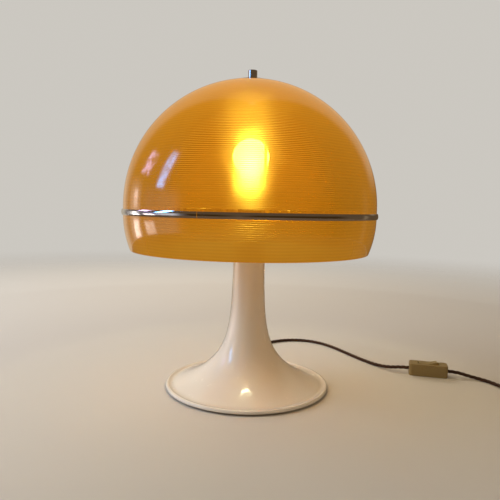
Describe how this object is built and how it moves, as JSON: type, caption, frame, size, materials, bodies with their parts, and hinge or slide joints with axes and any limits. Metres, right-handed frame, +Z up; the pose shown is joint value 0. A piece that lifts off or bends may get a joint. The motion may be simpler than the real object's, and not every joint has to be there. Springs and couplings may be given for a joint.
{
  "type": "mushroom table lamp",
  "caption": "Table lamp with a trumpet foot, a domed translucent shade on a wire carrier with a knob, a bulb, and a cord with a rocker switch and plug.",
  "frame": {"origin": "on the table, in the middle of the round foot", "axes": "+Z up along the stem, -Y to the front of the lamp as pictured, +X to its right, where the cord runs"},
  "size_m": [0.7685, 0.5009, 0.523],
  "materials": {
    "enamel": "gloss stove enamel",
    "felt": "felt",
    "iron": "as cast",
    "steel": "zinc plated",
    "orange_acrylic": "gloss, translucent, finely ribbed inside",
    "chrome": "polished",
    "nickel": "satin",
    "soft_washer": "matt",
    "dark_plastic": "semi gloss",
    "ceramic": "glazed, taken as a hard moulding",
    "brass": "satin",
    "frosted_glass": "frosted",
    "clear_glass": "clear",
    "gold_plastic": "gold coloured moulding",
    "braided_cord": "braided, three twisted cores",
    "inner_insulation": "braided, inside foot and tube",
    "tie_band": "strap"
  },
  "bodies": {
    "stand": {"foot_trumpet": "enamel", "neck_cap": "enamel", "felt_pad": "felt", "ballast": "iron", "base_plate": "steel", "base_plate_screws": "steel", "centre_tube": "steel", "tube_nut_lower": "steel", "tube_nut_upper": "steel", "cord_outlet": "dark_plastic", "inner_flex": "inner_insulation", "harp_saddle": "steel", "harp_bow": "steel", "holder_cap": "dark_plastic", "holder_insert": "ceramic", "holder_centre_contact": "brass", "holder_screw_shell": "brass", "holder_shell": "dark_plastic", "holder_ring": "dark_plastic", "holder_terminal_screws": "steel", "cord_to_switch": "braided_cord", "cord_from_switch": "braided_cord", "cord_coil": "braided_cord", "cord_tail": "braided_cord", "cord_tie": "tie_band", "switch_lower_case": "gold_plastic", "switch_upper_case": "gold_plastic", "switch_pivot_pin": "steel", "switch_contacts": "brass", "switch_terminals": "brass", "switch_terminal_screws": "steel", "switch_clamps": "steel", "switch_case_screws": "steel", "plug_base": "dark_plastic", "plug_cover": "dark_plastic", "plug_earth_pin": "brass", "plug_live_pin": "brass", "plug_neutral_pin": "brass", "plug_fuse": "ceramic", "plug_clamp": "steel", "plug_screws": "steel"},
    "swivel": {"swivel_stud": "steel"},
    "shade": {"shade_dome": "orange_acrylic", "shade_skirt": "orange_acrylic", "shade_band": "chrome", "shade_washer": "soft_washer", "cover_disc": "chrome"},
    "knob": {"finial": "chrome"},
    "bulb": {"bulb_glass": "frosted_glass", "bulb_cap": "nickel", "bulb_insulator": "ceramic", "bulb_tip": "brass", "bulb_mount": "clear_glass", "bulb_filament": "steel"},
    "sleeve_a": {"harp_sleeve_a": "steel"},
    "sleeve_b": {"harp_sleeve_b": "steel"},
    "rocker": {"switch_rocker": "gold_plastic", "switch_bridge": "brass"}
  },
  "joints": [
    {"name": "shade_swivel", "type": "hinge", "parent": "stand", "child": "swivel", "pos_m": [0, 0, 0.4975], "axis": [0, 0, 1], "continuous": true},
    {"name": "shade_lift", "type": "slide", "parent": "swivel", "child": "shade", "axis": [0, 0, 1], "range_m": [0, 0.3]},
    {"name": "knob_turn", "type": "hinge", "parent": "shade", "child": "knob", "pos_m": [0, 0, 0.515], "axis": [0, 0, 1], "range_deg": [0, 1080]},
    {"name": "bulb_turn", "type": "hinge", "parent": "stand", "child": "bulb", "pos_m": [0, 0, 0.32], "axis": [0, 0, 1], "range_deg": [0, 1080]},
    {"name": "sleeve_a_lift", "type": "slide", "parent": "stand", "child": "sleeve_a", "axis": [0, 0, 1], "range_m": [0, 0.012]},
    {"name": "sleeve_b_lift", "type": "slide", "parent": "stand", "child": "sleeve_b", "axis": [0, 0, 1], "range_m": [0, 0.012]},
    {"name": "rocker_tip", "type": "hinge", "parent": "stand", "child": "rocker", "pos_m": [0.3367, 0.0714, 0.015], "axis": [0.2445, 0.9697, 0], "range_deg": [0, 14]}
  ]
}
